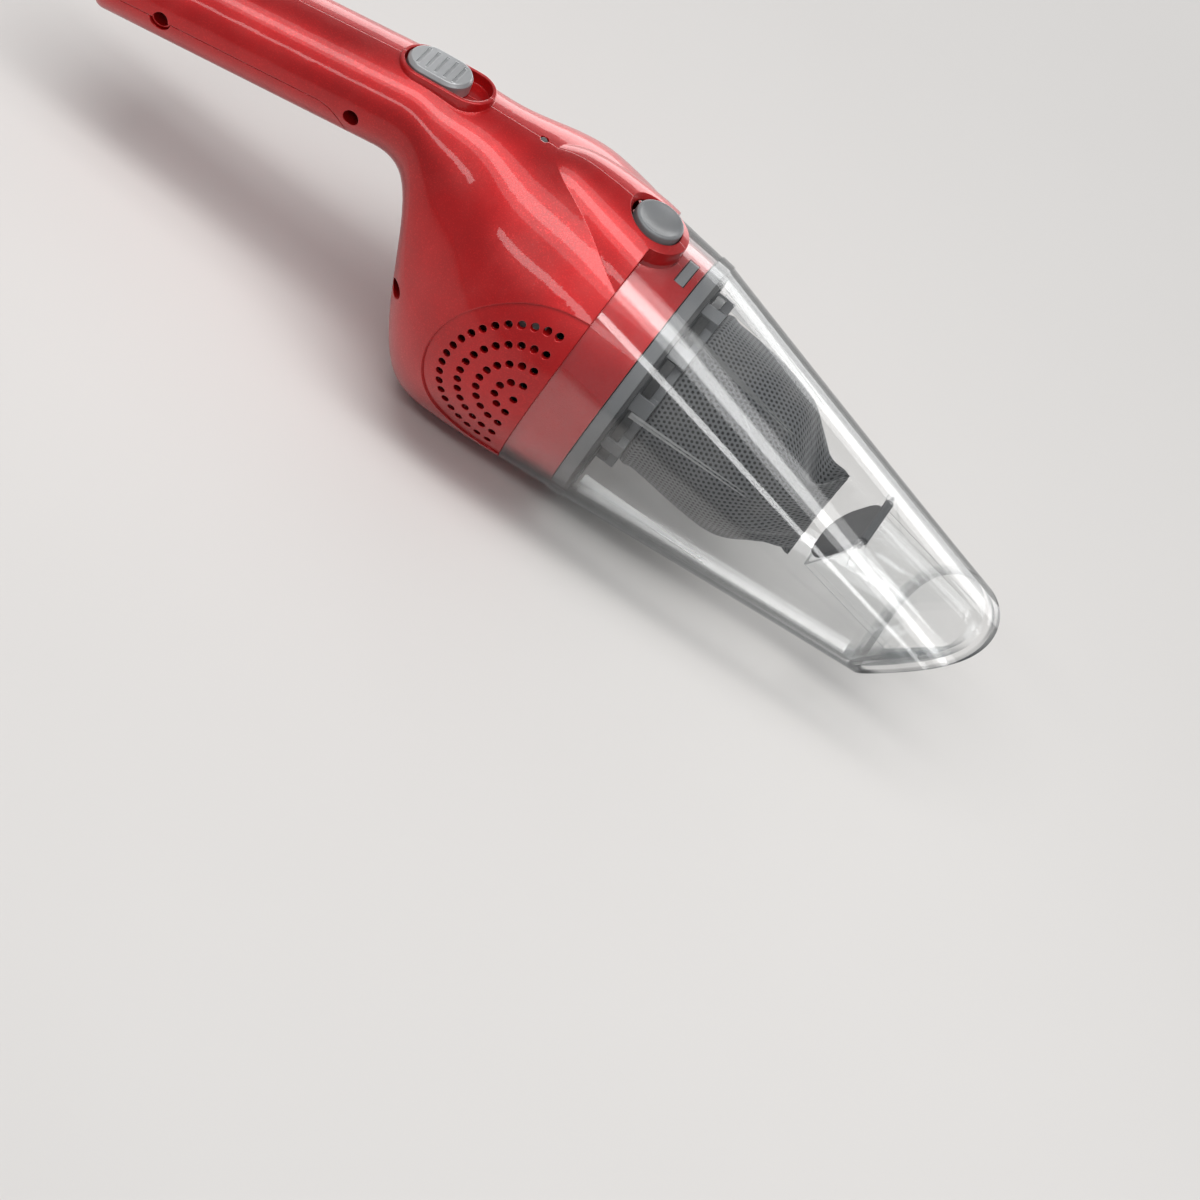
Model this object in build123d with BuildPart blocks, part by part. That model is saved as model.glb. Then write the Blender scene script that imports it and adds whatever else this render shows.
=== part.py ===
# Cordless handheld vacuum. Millimetres, +Z up, +X towards the nozzle, +Y to the left.
# The origin is the mouth of the charging socket, on the body axis at the rear of the handle.
from build123d import *
from math import atan, cos, pi, radians, sin, sqrt
import os

# casing
handle_length = 123.0  # rear face to where the belly starts to swell
swell_length = 64.0  # handle to full belly
barrel_length = 41.0  # full belly to the cup joint
handle_half_width = 24.5
handle_half_height = 19.2
handle_tail_height = 9.6  # middle of the rear face above the body axis
handle_slope = 0.235
belly_half_width = 60.5
belly_top = 63.5
belly_drop = 59.5
joint_radius = 57.4
casing_wall = 2.4
tail_round = 5.5
seam_gap = 0.3

# raised hood around the release button
hood_length = 62.0
hood_half_width = 38.5
hood_height = 67.0
hood_crest_behind = 33.0  # the highest place, behind the cup joint
hood_rear_fall = 11.0
hood_front_fall = 2.2
hood_nose_slope = 0.18
hood_middle = 24.0
hood_bottom = 10.0

# cup
spigot_length = 21.6
cup_wall = 2.2
cup_gap = 0.3
bead_end = 28.5  # end of the round collar, past the joint
bead_height = 0.5
collar_radius = 54.6  # cup radius at the end of the collar
nozzle_length = 193.0  # joint to the tip of the upper lip
nozzle_half_width = 35.2
nozzle_half_height = 17.4
nozzle_drop = 14.0
mouth_angle = 42.0  # mouth face from upright
mouth_bulge = 85.0  # radius of the mouth face seen along it
mouth_set_back = 3.0
fin_count = 8
fin_length = 56.0
fin_height = 4.0
fin_thickness = 1.2

# inlet duct and flap
duct_width = 30.0
duct_height = 21.0
duct_wall = 1.8
duct_start = 124.0  # middle of the inner end, past the joint
duct_lead = 30.0
duct_end_drop = 1.4  # its middle below the nozzle's middle, at the tip
duct_start_height = -1.1
flap_angle = 28.0  # from upright, free end to the rear
flap_thickness = 1.6
flap_width = 32.0
flap_length = 27.0
flap_round = 11.0  # corners of its free end
flap_pin_radius = 0.8
pin_gap = 0.05

# button and latch
button_radius = 10.0
button_behind_joint = 3.7
button_height = 65.6
button_travel = 2.5
dish_depth = 2.1
dish_lip = 1.2
well_drop = 3.4  # where the well starts to flare, below the button's top
well_flare = 35.0
button_gap = 0.35
boss_radius = 14.2
boss_gap = 0.5
tongue_width = 16.0
tongue_length = 4.0
tongue_past_joint = 16.2
slot_gap = 0.4

# slide switch
switch_behind_joint = 99.7
switch_slope = 10.0  # degrees
switch_height = 58.2  # rim plane above the body axis
rim_length = 39.7
rim_width = 22.0
rim_wall = 1.6
knob_length = 26.6
knob_width = 17.6
knob_height = 3.2
switch_travel = 7.5
slide_gap = 0.35

# filter
filter_height = 6.0  # filter axis above the body axis
flange_thickness = 5.4
flange_gap = 0.4
seal_thickness = 1.7
neck_bore = 32.0
neck_wall = 2.4
neck_length = 10.0
lock_radius = 38.5
lock_thickness = 4.0
lock_gap = 0.9
lock_slots = 10
lock_slot_width = 8.0
tab_height = 4.6
tab_gap = 0.3
sock_radius = 34.0
sock_gap = 0.3
sock_length = 73.3
sock_wall = 1.4
sock_end_half_width = 5.0
sock_end_half_height = 26.6
sock_end_height = -0.8  # middle of the closed end above the body axis
cage_radius = 31.7
cage_length = 44.3  # in front of the neck
cage_front_radius = 21.0
cage_wall = 1.6

# drive
impeller_radius = 38.0
impeller_depth = 9.0
blade_count = 9
eye_radius = 17.0
motor_radius = 17.9
motor_length = 40.0
shaft_radius = 1.6
shaft_gap = 0.1
plate_radius = 52.0
plate_thickness = 2.6
plate_behind_joint = 7.4  # front face of the motor plate
plate_seat = 5.0  # how far its rib reaches in behind it
rib_gap = 0.1
saddle_top = 36.0  # above this the ribs leave room for the latch arm
motor_ring_behind = 38.0
motor_ring_radius = 22.0
motor_ring_length = 6.0
grille_thickness = 2.6

# lower handle cover
cover_end_back = 29.0  # where its edge leaves the middle of the handle, behind the swell
cover_foot_back = 13.0  # where its edge reaches the underside, behind the swell
cover_gap = 0.3
cover_line_drop = 1.0  # edge below the middle of the handle

# vents and screws
vent_radius = 1.6
vent_ring_pitch = 7.6
vent_rings = 4
vent_behind_joint = 6.4
vent_recess = 0.7
vent_margin = 8.0
screw_recess_radius = 3.3
screw_radius = 1.4
screw_head_radius = 2.8
screw_head_height = 2.0
screw_boss_radius = 4.2
screw_length = 14.0
recess_floor = 9.0  # head seat to the parting plane
rear_screw_x = 28.3
middle_screw_back = 14.0  # behind the swell
front_screw_behind = 67.6
front_screw_height = -4.8

# power
cell_radius = 9.1
cell_length = 65.0
cell_from_rear = 36.0
tray_wall = 1.2
socket_bore = 2.75
socket_radius = 3.7
socket_entry = 5.0  # length of the wall that guides the plug
socket_inner = 2.4
pin_setback = 0.3
socket_depth = 9.5
board_length = 44.0
board_width = 24.0
board_thickness = 1.6
light_radius = 1.65
light_behind_joint = 56.4

joint_x = handle_length + swell_length + barrel_length
swell_end = handle_length + swell_length
cone = (joint_radius - collar_radius) / bead_end
filter_x = joint_x + spigot_length
cover_end = handle_length - cover_end_back
cover_foot = handle_length - cover_foot_back
middle_screw_x = handle_length - middle_screw_back
sock_start = spigot_length + flange_gap + flange_thickness + neck_length + sock_gap
sock_end = sock_start + sock_length
cage_front = sock_start + cage_length
duct_angle = atan((duct_start_height + nozzle_drop + duct_end_drop) / (nozzle_length - duct_start))
past_tip = nozzle_length + 20


def across(x, z=0.0):
    # plane across the body axis, its X to the left and its Y up
    return Plane(origin=(x, 0, z), x_dir=(0, 1, 0), z_dir=(1, 0, 0))


def upright(y=0.0):
    # plane along the body, its X forward and its Y up, facing right
    return Plane(origin=(0, y, 0), x_dir=(1, 0, 0), z_dir=(0, -1, 0))


def ease(t):
    t = min(max(t, 0.0), 1.0)
    return t * t * (3 - 2 * t)


def ease_hard(t):
    # the same, but flatter at both ends
    t = min(max(t, 0.0), 1.0)
    return t**3 * (10 - 15 * t + 6 * t * t)


def mix(a, b, t):
    return a + (b - a) * t


def handle_mid(x):
    return handle_tail_height + handle_slope * min(x, handle_length)


def body_size(x):
    """Half width, height of the widest line, top and bottom of the casing at station x."""
    handle = handle_mid(x)
    round_off = max(0.0, (x - swell_end) / barrel_length) ** 2
    width = mix(handle_half_width, belly_half_width, ease((x - handle_length) / (swell_length + 8)))
    top = mix(handle + handle_half_height, belly_top, ease((x - handle_length) / (swell_length + 6)))
    drop = ease_hard((x - handle_length - 2) / (swell_length - 2))
    bottom = mix(handle - handle_half_height, -belly_drop, drop)
    middle = mix(handle, 0.0, ease_hard((x - handle_length - 4) / (swell_length * 0.7)))
    width = mix(width, joint_radius, round_off)
    top = mix(top, joint_radius, round_off)
    bottom = mix(bottom, -joint_radius, round_off)
    return width, middle, top, bottom


def oval(x, width, middle, top, bottom):
    # closed outline of two half ellipses that meet at the widest line
    with BuildSketch(across(x, middle)) as face:
        with BuildLine():
            EllipticalCenterArc((0, 0), width, top - middle, start_angle=0, arc_size=180)
            EllipticalCenterArc((0, 0), width, middle - bottom, start_angle=180, arc_size=180)
        make_face()
    return face.sketch


def body_sections(stations, inset):
    sections = []
    for x in stations:
        width, middle, top, bottom = body_size(x)
        reach = min(x - inset, tail_round)
        edge = inset + tail_round - sqrt(tail_round**2 - (tail_round - reach) ** 2)
        sections.append(oval(x, width - edge, middle, top - edge, bottom + edge))
    return sections


def hood_sections(stations, inset):
    # the raised hood behind the release button, a half-ellipse in plan
    sections = []
    for behind in stations:
        spread = hood_half_width * sqrt(max(0.0, 1 - (max(behind, 0) / hood_length) ** 2))
        if behind > hood_crest_behind:
            fall = hood_rear_fall * ((behind - hood_crest_behind) / (hood_length - hood_crest_behind)) ** 2
        else:
            fall = hood_front_fall * ((hood_crest_behind - behind) / hood_crest_behind) ** 2
        crest = hood_height - fall - max(0.0, -behind) * hood_nose_slope
        sections.append(oval(joint_x - behind, spread - inset, hood_middle, crest - inset, hood_bottom))
    return sections


def round_face(x, radius, z=0.0):
    with BuildSketch(across(x, z)) as face:
        Circle(radius)
    return face.sketch


def finish(piece, label):
    piece.part.label = label
    export_step(piece.part, f"parts/{label}.step")


os.makedirs("parts", exist_ok=True)


# casing: outer and inner bodies
tail = [tail_round * (1 - cos(radians(15 * k))) for k in range(7)]
station_count = 26
station_step = (joint_x - tail_round) / station_count
stations = [tail_round + station_step * k for k in range(station_count + 3)]
inner_tail = [casing_wall + x for x in tail]
inner_step = (joint_x - casing_wall - tail_round) / station_count
inner_stations = [casing_wall + tail_round + inner_step * k for k in range(station_count + 3)]
hood_stations = [57, 47, 37, 27, 17, 7, -3, -13]

with BuildPart() as past_joint:
    with BuildSketch(across(joint_x)):
        Rectangle(300, 300)
    extrude(amount=100)

with BuildPart() as casing_outer:
    loft(body_sections(tail, 0.0))
    loft(body_sections(stations, 0.0))
    add(past_joint.part, mode=Mode.SUBTRACT)

with BuildPart() as hood_outer:
    loft(hood_sections(hood_stations, 0.0))
    with BuildSketch():
        with Locations((joint_x + 20, 0)):
            Rectangle(40, 100)
        with Locations((joint_x - button_behind_joint, 0)):
            Circle(boss_radius, mode=Mode.SUBTRACT)
    extrude(amount=120, mode=Mode.SUBTRACT)

with BuildPart() as casing_inner:
    loft(body_sections(inner_tail, casing_wall))
    loft(body_sections(inner_stations, casing_wall))
    add(past_joint.part, mode=Mode.SUBTRACT)
    with BuildSketch(Plane.XY.offset(casing_wall - joint_radius)):
        with Locations((joint_x / 2, 0)):
            Rectangle(2 * joint_x, 200)
    extrude(amount=-20, mode=Mode.SUBTRACT)

with BuildPart() as casing_core:
    # down to the middle of the wall, for what grows from the wall
    loft(body_sections(stations, casing_wall / 2))
    add(past_joint.part, mode=Mode.SUBTRACT)
    with BuildSketch(Plane.XY.offset(casing_wall / 2 - joint_radius)):
        with Locations((joint_x / 2, 0)):
            Rectangle(2 * joint_x, 200)
    extrude(amount=-20, mode=Mode.SUBTRACT)

with BuildPart() as hood_inner:
    loft(hood_sections(hood_stations, casing_wall))
    with BuildSketch(across(joint_x - casing_wall)):
        Rectangle(200, 200)
    extrude(amount=60, mode=Mode.SUBTRACT)

# the vent panels: an arch on each side, sunk a little below the casing's surface
with BuildPart() as vent_panel:
    with BuildSketch(upright(120)):
        with Locations((joint_x - vent_behind_joint, 0)):
            Circle(vent_rings * vent_ring_pitch + vent_margin)
        with Locations((joint_x + 50 - vent_behind_joint, 0)):
            Rectangle(100, 100, mode=Mode.SUBTRACT)
        with Locations((joint_x - vent_behind_joint / 2, 0)):
            Rectangle(vent_behind_joint, 2 * (vent_rings * vent_ring_pitch + vent_margin))
    extrude(amount=240)
    with BuildSketch(Plane.XZ):
        with Locations((joint_x, 0)):
            Rectangle(400, 400)
    extrude(amount=30, both=True, mode=Mode.SUBTRACT)
    loft(body_sections(stations, vent_recess), mode=Mode.SUBTRACT)

with BuildPart() as vent_holes:
    with BuildSketch(upright(120)):
        for ring in range(vent_rings + 1):
            holes = 5 * ring + 1
            for k in range(holes):
                turn = radians(90 + 180 * (k / (holes - 1) if holes > 1 else 0.5))
                reach = ring * vent_ring_pitch
                with Locations((joint_x - vent_behind_joint + reach * cos(turn), reach * sin(turn))):
                    Circle(vent_radius)
    extrude(amount=240)

# spigot that carries the cup: a cone inside the clear collar
def cup_outer(past):
    return joint_radius - cone * past


def cup_inner(past):
    return cup_outer(past) - cup_wall


def spigot_outer(past):
    return cup_inner(past) - cup_gap


shoulder = 4.0
with BuildPart() as spigot_solid:
    root = round_face(joint_x, spigot_outer(0))
    loft([round_face(joint_x - shoulder, spigot_outer(0)), root], ruled=True)
    loft([root, round_face(filter_x, spigot_outer(spigot_length))], ruled=True)

with BuildPart() as spigot_bore:
    root_bore = round_face(joint_x, spigot_outer(0) - casing_wall)
    loft([round_face(joint_x - shoulder, spigot_outer(0) - casing_wall), root_bore], ruled=True)
    loft([root_bore, round_face(filter_x, spigot_outer(spigot_length) - casing_wall)], ruled=True)

# button well, spring floor and latch slot
button_x = joint_x - button_behind_joint
floor_top = spigot_outer(0) + 0.2
stem = 7.0
latch_x = joint_x + tongue_past_joint

# slide switch plane
switch_plane = Plane(
    origin=(joint_x - switch_behind_joint, 0, switch_height),
    x_dir=(cos(radians(switch_slope)), 0, sin(radians(switch_slope))),
    z_dir=(-sin(radians(switch_slope)), 0, cos(radians(switch_slope))),
)
rim_height = 1.2
pocket_depth = 3.4
pocket_floor = 1.4
stem_slot = 6.0

# screws: place along the body, height
screw_spots = [
    (rear_screw_x, handle_mid(rear_screw_x) - 1.0),
    (middle_screw_x, handle_mid(middle_screw_x) - 2.0),
    (joint_x - front_screw_behind, front_screw_height),
]


def screw_bosses(radius):
    with BuildPart() as bosses:
        for x, z in screw_spots:
            with BuildSketch(upright(100)):
                with Locations((x, z)):
                    Circle(radius)
        extrude(amount=200)
    return bosses.part


def below_cover_line(gap):
    # the part of the handle that belongs to the lower cover
    with BuildPart() as zone:
        with BuildSketch(upright(60)):
            with BuildLine():
                below = cover_line_drop + gap
                edge = Line((-20, handle_mid(-20) - below), (cover_end, handle_mid(cover_end) - below))
                foot_height = handle_mid(cover_foot) - handle_half_height - 5
                foot = TangentArc(edge @ 1, (cover_foot - gap, foot_height), tangent=edge % 1)
                Polyline(foot @ 1, (cover_foot - gap, -40), (-20, -40), edge @ 0)
            make_face()
        extrude(amount=120)
    return zone.part


plate_rib = (plate_behind_joint + plate_thickness + rib_gap, 2.0, plate_radius - plate_seat)
ring_rib = (motor_ring_behind + motor_ring_length / 4, motor_ring_length / 2, motor_ring_radius + 0.2)
with BuildPart() as saddles:
    # ribs that hold the motor plate and the motor's rubber ring: place, thickness, bore
    for behind, thick, bore in (plate_rib, ring_rib):
        with BuildSketch(across(joint_x - behind)):
            Rectangle(200, 200)
            Circle(bore, mode=Mode.SUBTRACT)
        extrude(amount=-thick)
    with BuildSketch(Plane.XY.offset(saddle_top)):
        with Locations((joint_x, 0)):
            Rectangle(200, 60)
    extrude(amount=60, mode=Mode.SUBTRACT)
    add(casing_core.part, mode=Mode.INTERSECT)

with BuildPart() as casing_shell:
    add(casing_outer.part)
    add(hood_outer.part)
    with BuildSketch(Plane.XY.offset(-joint_radius)):
        with Locations((joint_x / 2, 0)):
            Rectangle(2 * joint_x, 200)
    extrude(amount=-20, mode=Mode.SUBTRACT)
    add(vent_panel.part, mode=Mode.SUBTRACT)
    add(casing_inner.part, mode=Mode.SUBTRACT)
    add(hood_inner.part, mode=Mode.SUBTRACT)
    add(spigot_solid.part)
    with BuildSketch(Plane.XY.offset(floor_top - casing_wall)):
        with Locations((button_x, 0)):
            Circle(button_radius + 2)
    extrude(amount=casing_wall)
    add(spigot_bore.part, mode=Mode.SUBTRACT)
    with BuildSketch(Plane.XY.offset(floor_top)):
        with Locations((button_x, 0)):
            Circle(button_radius + button_gap)
    extrude(amount=30, mode=Mode.SUBTRACT)
    with BuildSketch(Plane.XY.offset(button_height - well_drop)):
        with Locations((button_x, 0)):
            Circle(button_radius + button_gap)
    extrude(amount=5, taper=-well_flare, mode=Mode.SUBTRACT)
    with BuildSketch(Plane.XY.offset(floor_top - 20)):
        with Locations((button_x, 0)):
            Rectangle(stem + 2 * slot_gap, stem + 2 * slot_gap)
        with Locations((latch_x, 0)):
            Rectangle(tongue_length + 2 * slot_gap, tongue_width + 2 * slot_gap)
    extrude(amount=24, mode=Mode.SUBTRACT)
    with BuildSketch(switch_plane.offset(-pocket_depth - pocket_floor)):
        SlotOverall(rim_length, rim_width)
    extrude(amount=pocket_depth + pocket_floor + rim_height)
    rim_edge = casing_shell.faces().filter_by(lambda f: f.normal_at().dot(switch_plane.z_dir) > 0.999)
    fillet(rim_edge.sort_by(Axis.Z)[-1].edges(), 0.6)
    with BuildSketch(switch_plane.offset(-pocket_depth)):
        SlotOverall(rim_length - 2 * rim_wall, rim_width - 2 * rim_wall)
    extrude(amount=20, mode=Mode.SUBTRACT)
    with BuildSketch(switch_plane.offset(-pocket_depth)):
        SlotOverall(stem_slot + switch_travel + 5, stem_slot)
    extrude(amount=-10, mode=Mode.SUBTRACT)
    with BuildSketch():
        with Locations((joint_x - light_behind_joint, 0)):
            Circle(light_radius + 0.1)
    extrude(amount=100, mode=Mode.SUBTRACT)

cover_zone = below_cover_line(0.0)
cover_zone_inset = below_cover_line(cover_gap)
bosses = screw_bosses(screw_boss_radius)
boss_room = screw_bosses(screw_boss_radius + 0.3)
screw_holes = screw_bosses(screw_radius + 0.15)

with BuildPart() as boss_posts:
    add(bosses)
    add(casing_core.part, mode=Mode.INTERSECT)

with BuildPart() as head_recesses:
    for x, z in screw_spots:
        with BuildSketch(upright(-recess_floor)):
            with Locations((x, z)):
                Circle(screw_recess_radius)
    extrude(amount=80)

with BuildPart() as casing_whole:
    add(casing_shell.part)
    add(cover_zone, mode=Mode.SUBTRACT)
    add(saddles.part)
    add(boss_posts.part)
    add(screw_holes, mode=Mode.SUBTRACT)
    add(head_recesses.part, mode=Mode.SUBTRACT)
    add(vent_holes.part, mode=Mode.SUBTRACT)

with BuildPart() as housing_right:
    add(casing_whole.part)
    with BuildSketch(upright(-seam_gap / 2)):
        Rectangle(900, 300)
    extrude(amount=-100, mode=Mode.SUBTRACT)
finish(housing_right, "housing_right")

with BuildPart() as housing_left:
    add(casing_whole.part)
    with BuildSketch(upright(seam_gap / 2)):
        Rectangle(900, 300)
    extrude(amount=100, mode=Mode.SUBTRACT)
finish(housing_left, "housing_left")

with BuildPart() as handle_cover:
    add(casing_shell.part)
    add(cover_zone_inset, mode=Mode.INTERSECT)
    add(boss_room, mode=Mode.SUBTRACT)
    with BuildSketch(Plane.YZ):
        Circle(socket_radius + 0.1)
    extrude(amount=20, mode=Mode.SUBTRACT)
finish(handle_cover, "handle_cover")

with BuildPart() as housing_screws:
    for x, z in screw_spots:
        with BuildSketch(upright(-recess_floor)):
            with Locations((x, z)):
                Circle(screw_head_radius)
    extrude(amount=screw_head_height)
    for x, z in screw_spots:
        with BuildSketch(upright(-recess_floor)):
            with Locations((x, z)):
                Circle(screw_radius)
    extrude(amount=-screw_length)
    for x, z in screw_spots:
        with BuildSketch(upright(-recess_floor - screw_head_height)):
            with Locations((x, z)):
                Rectangle(3.4, 0.8)
                Rectangle(0.8, 3.4)
    extrude(amount=-1.0, mode=Mode.SUBTRACT)
finish(housing_screws, "housing_screws")

# slide switch
knob_rear = switch_plane.offset(-pocket_depth + slide_gap)
rest_shift = -switch_travel / 2
with BuildPart() as switch_knob:
    with BuildSketch(knob_rear):
        with Locations((rest_shift, 0)):
            SlotOverall(knob_length, knob_width)
    extrude(amount=pocket_depth - slide_gap + knob_height)
    knob_top = switch_knob.faces().filter_by(lambda f: f.normal_at().dot(switch_plane.z_dir) > 0.999)
    chamfer(knob_top.edges(), 1.6, 0.9)
    for k in range(-2, 3):
        with BuildSketch(switch_plane.offset(knob_height)):
            with Locations((rest_shift + 3.9 * k, 0)):
                Rectangle(1.3, knob_width - 5.4)
        extrude(amount=-0.7, mode=Mode.SUBTRACT)
    with BuildSketch(knob_rear):
        with Locations((rest_shift, 0)):
            SlotOverall(stem_slot + 4.0, stem_slot - 2 * slide_gap)
    extrude(amount=-pocket_floor - 3.0)
finish(switch_knob, "switch_knob")

block_top = switch_plane.offset(-pocket_depth - pocket_floor - 3.4)
with BuildPart() as switch_block:
    with BuildSketch(block_top):
        Rectangle(20, 8)
    extrude(amount=-6.0)
    with BuildSketch(block_top):
        with Locations((rest_shift, 0)):
            Rectangle(3.0, 3.0)
    extrude(amount=0.4)
finish(switch_block, "switch_block")

board_top = block_top.offset(-6.0)
with BuildPart() as circuit_board:
    with BuildSketch(board_top):
        Rectangle(board_length, board_width)
        with GridLocations(board_length - 6, board_width - 6, 2, 2):
            Circle(1.3, mode=Mode.SUBTRACT)
    extrude(amount=-board_thickness)
    with BuildSketch(board_top):
        with Locations((14, 5), (15, -6)):
            Rectangle(6, 5)
    extrude(amount=2.0)
finish(circuit_board, "circuit_board")

# release button with its latch arm and tongue, and the spring under it
cap_bottom = floor_top + button_travel + 0.6
arm_top = spigot_outer(spigot_length) - casing_wall - 3.0
arm_thickness = 2.6
arm_gap = 0.3
tongue_top = sqrt(spigot_outer(tongue_past_joint + tongue_length / 2) ** 2 - (tongue_width / 2) ** 2)
with BuildPart() as release_button:
    with BuildSketch(Plane.XY.offset(cap_bottom)):
        with Locations((button_x, 0)):
            Circle(button_radius)
    extrude(amount=button_height - cap_bottom)
    fillet(release_button.edges().group_by(Axis.Z)[-1], 0.8)
    with BuildSketch(Plane.XZ):
        with BuildLine():
            lip_x = button_x + button_radius - dish_lip
            dish = ThreePointArc(
                (button_x, button_height - dish_depth),
                (button_x + 4.4, button_height - 0.73 * dish_depth),
                (lip_x, button_height + 0.05),
            )
            Polyline(dish @ 1, (lip_x, button_height + 3), (button_x, button_height + 3), dish @ 0)
        make_face()
    revolve(axis=Axis((button_x, 0, 0), (0, 0, 1)), mode=Mode.SUBTRACT)
    with BuildSketch(Plane.XY.offset(cap_bottom)):
        with Locations((button_x, 0)):
            Circle(7.6)
    extrude(amount=3.4, mode=Mode.SUBTRACT)
    with BuildSketch(Plane.XY.offset(arm_top - arm_thickness)):
        with Locations((button_x, 0)):
            Rectangle(stem, stem)
    extrude(amount=cap_bottom + 4 - arm_top + arm_thickness)
    with BuildSketch(Plane.XY.offset(arm_top - arm_thickness)):
        with Locations(((button_x + latch_x) / 2, 0)):
            Rectangle(latch_x - button_x, 10)
    extrude(amount=arm_thickness)
    with BuildSketch(Plane.XY.offset(arm_top - arm_thickness)):
        with Locations((latch_x, 0)):
            Rectangle(tongue_length, tongue_width)
    extrude(amount=tongue_top - arm_top + arm_thickness)
finish(release_button, "release_button")

spring_wire = 0.7
spring_radius = 6.6
with BuildPart() as button_spring:
    spring_foot = floor_top + spring_wire / 2 + 0.05
    spring_height = cap_bottom + 3.4 - spring_foot - spring_wire / 2 - 0.05
    with BuildLine():
        coil = Helix(spring_height / 3.5, spring_height, spring_radius, center=(button_x, 0, spring_foot))
    with BuildSketch(Plane(origin=coil @ 0, z_dir=coil % 0)):
        Circle(spring_wire / 2)
    sweep(is_frenet=True)
finish(button_spring, "button_spring")

# charging light, socket, battery
light_x = joint_x - light_behind_joint
light_top = body_size(light_x)[2] - 0.2
with BuildPart() as charge_light:
    with BuildSketch(Plane.XY.offset(light_top - 7.0)):
        with Locations((light_x, 0)):
            Circle(light_radius)
    extrude(amount=7.0)
    fillet(charge_light.edges().group_by(Axis.Z)[-1], 0.8)
    with BuildSketch(Plane.XY.offset(light_top - 7.0)):
        with Locations((light_x, 0)):
            Circle(light_radius + 0.6)
    extrude(amount=1.2)
finish(charge_light, "charge_light")

with BuildPart() as charge_socket:
    with BuildSketch(across(0)):
        Circle(socket_radius)
    extrude(amount=6.2)
    with BuildSketch(across(6.2)):
        Circle(socket_radius + 0.8)
    extrude(amount=socket_depth + 1.5 - 6.2)
    with BuildSketch(across(0)):
        Circle(socket_bore)
    extrude(amount=socket_entry, mode=Mode.SUBTRACT)
    with BuildSketch(across(0)):
        Circle(socket_inner)
    extrude(amount=socket_depth, mode=Mode.SUBTRACT)
finish(charge_socket, "charge_socket")

with BuildPart() as socket_pin:
    with BuildSketch(across(socket_entry + pin_setback)):
        Circle(1.0)
    extrude(amount=socket_depth - socket_entry - pin_setback)
finish(socket_pin, "socket_pin")

lean = atan(handle_slope)


def along_handle(x, lift=0.0):
    # plane across the sloping handle
    return Plane(
        origin=(x - lift * sin(lean), 0, handle_mid(x) + lift * cos(lean)),
        x_dir=(0, 1, 0),
        z_dir=(cos(lean), 0, sin(lean)),
    )


cell_gap = 0.2
cell_pitch = 2 * cell_radius + 3 * cell_gap
cell_start = along_handle(cell_from_rear)
with BuildPart() as battery_cells:
    with BuildSketch(cell_start):
        with GridLocations(cell_pitch, 1, 2, 1):
            Circle(cell_radius)
    extrude(amount=cell_length)
finish(battery_cells, "battery_cells")

tab_thickness = 0.3
with BuildPart() as battery_tabs:
    with BuildSketch(cell_start, cell_start.offset(cell_length + tab_thickness)):
        Rectangle(cell_pitch + 6, 5)
    extrude(amount=-tab_thickness)
finish(battery_tabs, "battery_tabs")

cup_skirt = 4.0
with BuildPart() as battery_tray:
    tray_length = cell_length + 2 * tab_thickness + 2 * tray_wall
    tray_start = cell_start.offset(-tab_thickness - tray_wall)
    tray_inside = 2 * (cell_radius + cell_gap)
    with BuildSketch(tray_start):
        SlotOverall(cell_pitch + tray_inside + 2 * tray_wall, tray_inside + 2 * tray_wall)
    extrude(amount=tray_length)
    with BuildSketch(tray_start.offset(tray_wall)):
        SlotOverall(cell_pitch + tray_inside, tray_inside)
    extrude(amount=tray_length - 2 * tray_wall, mode=Mode.SUBTRACT)
    with BuildSketch(tray_start.offset(tray_wall + cup_skirt)):
        with Locations((0, 20 - 2 * cell_radius * 0.35)):
            Rectangle(60, 40)
    extrude(amount=tray_length - 2 * tray_wall - 2 * cup_skirt, mode=Mode.SUBTRACT)
finish(battery_tray, "battery_tray")

# drive: plate, motor, fan
plate_x = joint_x - plate_behind_joint
can_front = plate_x - plate_thickness
with BuildPart() as motor_plate:
    with BuildSketch(across(plate_x)):
        Circle(plate_radius)
        Circle(4.0, mode=Mode.SUBTRACT)
        with PolarLocations(29.0, 6):
            SlotOverall(22, 10, rotation=90, mode=Mode.SUBTRACT)
        with PolarLocations(8.0, 2):
            Circle(1.6, mode=Mode.SUBTRACT)
    extrude(amount=-plate_thickness)
    with BuildSketch(Plane.XY.offset(arm_top - arm_thickness - button_travel - 1)):
        with Locations((plate_x, 0)):
            Rectangle(20, 60)
    extrude(amount=40, mode=Mode.SUBTRACT)
finish(motor_plate, "motor_plate")

can_wall = 1.5
end_cap_length = 8.0
core_radius = 11.5
with BuildPart() as motor_can:
    with BuildSketch(across(can_front - 0.05)):
        Circle(motor_radius)
    extrude(amount=-motor_length)
    with BuildSketch(across(can_front - can_wall)):
        Circle(motor_radius - can_wall)
    extrude(amount=-motor_length, mode=Mode.SUBTRACT)
    with BuildSketch(across(can_front)):
        Circle(shaft_radius + shaft_gap)
        with PolarLocations(8.0, 2):
            Circle(1.3)
    extrude(amount=-4, mode=Mode.SUBTRACT)
finish(motor_can, "motor_can")

magnet_front = can_front - 6.0
magnet_length = 24.0
with BuildPart() as motor_magnets:
    with BuildSketch(across(magnet_front)):
        Circle(motor_radius - can_wall - 0.02)
        Circle(core_radius + 0.7, mode=Mode.SUBTRACT)
        Rectangle(7, 60, mode=Mode.SUBTRACT)
    extrude(amount=-magnet_length)
finish(motor_magnets, "motor_magnets")

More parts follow.
